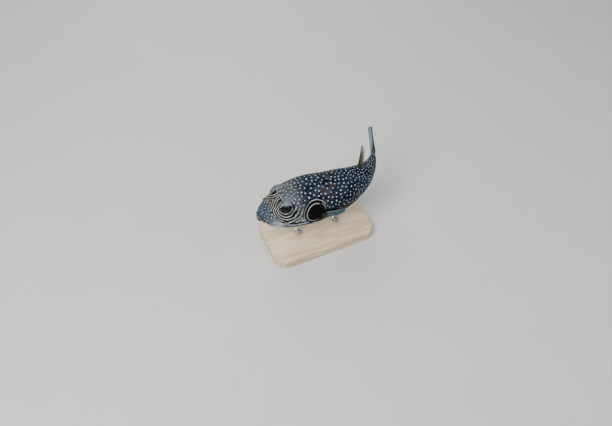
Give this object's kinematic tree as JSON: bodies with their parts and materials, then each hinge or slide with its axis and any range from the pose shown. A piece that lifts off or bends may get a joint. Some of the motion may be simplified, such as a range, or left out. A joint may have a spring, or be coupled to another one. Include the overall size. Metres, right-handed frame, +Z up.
{
  "type": "white-spotted pufferfish model on a display stand",
  "caption": "Life-size still model of a white-spotted pufferfish, tail swept aside as in swimming, held over a flat base by short rods.",
  "frame": {"origin": "middle of the stand base's underside", "axes": "+Z up, the head points to -X, the fish's left side faces -Y, and the tail sweeps round to +Y"},
  "size_m": [0.1709, 0.0995, 0.1074],
  "materials": {
    "skin": "moist dark blue-grey skin with white spots and a pale belly",
    "fin": "thin olive-grey membrane over soft rays",
    "eye": "glossy dark eye with olive flecks",
    "beak": "smooth ivory tooth plates",
    "stand_wood": "pale oiled wood",
    "stand_steel": "satin stainless steel"
  },
  "bodies": {
    "root": {"snout": "skin", "head": "skin", "trunk": "skin", "tail_stalk": "skin", "lip_upper": "skin", "lip_lower": "skin", "nostril_left": "skin", "nostril_right": "skin", "beak_upper": "beak", "beak_lower": "beak", "eye_left": "eye", "eye_right": "eye", "dorsal_fin": "fin", "anal_fin": "fin", "caudal_fin": "fin", "pectoral_fin_left": "fin", "pectoral_fin_right": "fin", "stand_base": "stand_wood", "stand_rod_front": "stand_steel", "stand_rod_rear": "stand_steel", "stand_collar_front": "stand_steel", "stand_collar_rear": "stand_steel"}
  },
  "joints": []
}
